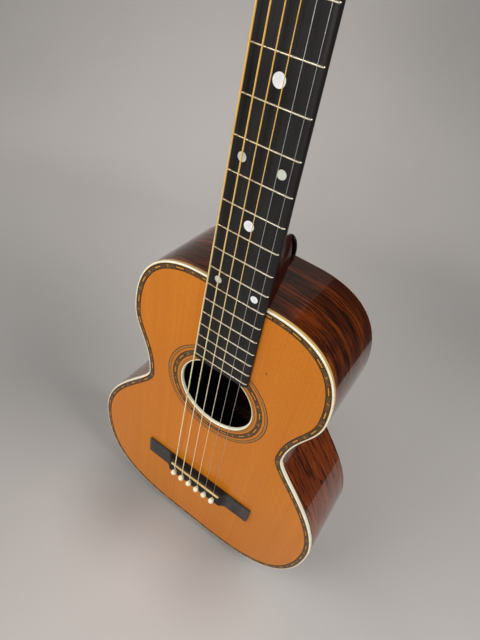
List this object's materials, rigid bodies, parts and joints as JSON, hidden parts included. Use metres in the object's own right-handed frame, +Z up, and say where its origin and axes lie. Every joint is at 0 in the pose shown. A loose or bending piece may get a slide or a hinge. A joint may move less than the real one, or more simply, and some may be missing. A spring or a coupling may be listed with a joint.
{
  "type": "parlor guitar",
  "caption": "Small-bodied acoustic guitar with a slotted head, worm-geared side tuners, inlaid rosette and edge band, pinned bridge and a neck clear of the body to the joint.",
  "frame": {"origin": "centre of the end pin's outer flat face, the guitar's lowest point", "axes": "+Z up along the body's centre line to the neck, the soundboard faces -Y, the treble side is +X"},
  "size_m": [0.3288, 0.1191, 0.9395],
  "materials": {
    "spruce_top": "aged amber spruce, gloss lacquer",
    "rosewood": "dark red-brown rosewood, high gloss",
    "mahogany": "dark mahogany, gloss",
    "ebony": "near-black ebony, satin",
    "cream_binding": "aged cream, gloss",
    "marquetry": "dark inlaid band with gold dashes, gloss",
    "bone": "polished bone",
    "inner_spruce": "bare pale spruce",
    "plate_brass": "aged brass, satin",
    "steel": "nickelled steel",
    "bronze_string": "bronze-wound string",
    "plain_string": "plain steel string"
  },
  "bodies": {
    "guitar": {"soundboard": "spruce_top", "rosette": "marquetry", "soundhole_ring": "cream_binding", "back_plate": "rosewood", "side_treble": "rosewood", "side_bass": "rosewood", "top_binding": "cream_binding", "back_binding": "cream_binding", "top_purfling": "marquetry", "top_lining_and_braces": "inner_spruce", "back_lining_and_braces": "inner_spruce", "neck_block": "mahogany", "tail_block": "mahogany", "neck": "mahogany", "heel_cap": "ebony", "fingerboard": "ebony", "bridge": "ebony", "saddle": "bone", "bridge_plate": "inner_spruce", "bridge_pin_6": "bone", "bridge_pin_5": "bone", "bridge_pin_4": "bone", "bridge_pin_3": "bone", "bridge_pin_2": "bone", "bridge_pin_1": "bone", "nut": "bone", "string_6": "bronze_string", "string_5": "bronze_string", "string_4": "bronze_string", "string_3": "bronze_string", "string_2": "plain_string", "string_1": "plain_string", "headplate": "rosewood", "tuner_plate_treble": "plate_brass", "tuner_plate_bass": "plate_brass", "end_pin": "ebony"},
    "tuner_6_worm": {"worm_6": "steel", "button_6": "bone"},
    "tuner_6_roller": {"roller_6": "steel", "gear_6": "plate_brass"},
    "tuner_5_worm": {"worm_5": "steel", "button_5": "bone"},
    "tuner_5_roller": {"roller_5": "steel", "gear_5": "plate_brass"},
    "tuner_4_worm": {"worm_4": "steel", "button_4": "bone"},
    "tuner_4_roller": {"roller_4": "steel", "gear_4": "plate_brass"},
    "tuner_3_worm": {"worm_3": "steel", "button_3": "bone"},
    "tuner_3_roller": {"roller_3": "steel", "gear_3": "plate_brass"},
    "tuner_2_worm": {"worm_2": "steel", "button_2": "bone"},
    "tuner_2_roller": {"roller_2": "steel", "gear_2": "plate_brass"},
    "tuner_1_worm": {"worm_1": "steel", "button_1": "bone"},
    "tuner_1_roller": {"roller_1": "steel", "gear_1": "plate_brass"}
  },
  "joints": [
    {"name": "tuner_6", "type": "hinge", "parent": "guitar", "child": "tuner_6_worm", "pos_m": [-0.036, -0.03097, 0.83577], "axis": [0, 0.9744, -0.225], "continuous": true},
    {"name": "roller_6_spin", "type": "hinge", "parent": "guitar", "child": "tuner_6_roller", "pos_m": [0, -0.03311, 0.82651], "axis": [1, 0, 0], "continuous": true},
    {"name": "tuner_5", "type": "hinge", "parent": "guitar", "child": "tuner_5_worm", "pos_m": [-0.036, -0.0231, 0.86987], "axis": [0, 0.9744, -0.225], "continuous": true},
    {"name": "roller_5_spin", "type": "hinge", "parent": "guitar", "child": "tuner_5_roller", "pos_m": [0, -0.02524, 0.86062], "axis": [1, 0, 0], "continuous": true},
    {"name": "tuner_4", "type": "hinge", "parent": "guitar", "child": "tuner_4_worm", "pos_m": [-0.036, -0.01523, 0.90398], "axis": [0, 0.9744, -0.225], "continuous": true},
    {"name": "roller_4_spin", "type": "hinge", "parent": "guitar", "child": "tuner_4_roller", "pos_m": [0, -0.01736, 0.89472], "axis": [1, 0, 0], "continuous": true},
    {"name": "tuner_3", "type": "hinge", "parent": "guitar", "child": "tuner_3_worm", "pos_m": [0.036, -0.01523, 0.90398], "axis": [0, 0.9744, -0.225], "continuous": true},
    {"name": "roller_3_spin", "type": "hinge", "parent": "guitar", "child": "tuner_3_roller", "pos_m": [0, -0.01736, 0.89472], "axis": [1, 0, 0], "continuous": true},
    {"name": "tuner_2", "type": "hinge", "parent": "guitar", "child": "tuner_2_worm", "pos_m": [0.036, -0.0231, 0.86987], "axis": [0, 0.9744, -0.225], "continuous": true},
    {"name": "roller_2_spin", "type": "hinge", "parent": "guitar", "child": "tuner_2_roller", "pos_m": [0, -0.02524, 0.86062], "axis": [1, 0, 0], "continuous": true},
    {"name": "tuner_1", "type": "hinge", "parent": "guitar", "child": "tuner_1_worm", "pos_m": [0.036, -0.03097, 0.83577], "axis": [0, 0.9744, -0.225], "continuous": true},
    {"name": "roller_1_spin", "type": "hinge", "parent": "guitar", "child": "tuner_1_roller", "pos_m": [0, -0.03311, 0.82651], "axis": [1, 0, 0], "continuous": true}
  ],
  "couplings": [
    {"joint": "roller_6_spin", "follows": "tuner_6", "ratio": 0.071429},
    {"joint": "roller_5_spin", "follows": "tuner_5", "ratio": 0.071429},
    {"joint": "roller_4_spin", "follows": "tuner_4", "ratio": 0.071429},
    {"joint": "roller_3_spin", "follows": "tuner_3", "ratio": 0.071429},
    {"joint": "roller_2_spin", "follows": "tuner_2", "ratio": 0.071429},
    {"joint": "roller_1_spin", "follows": "tuner_1", "ratio": 0.071429}
  ]
}
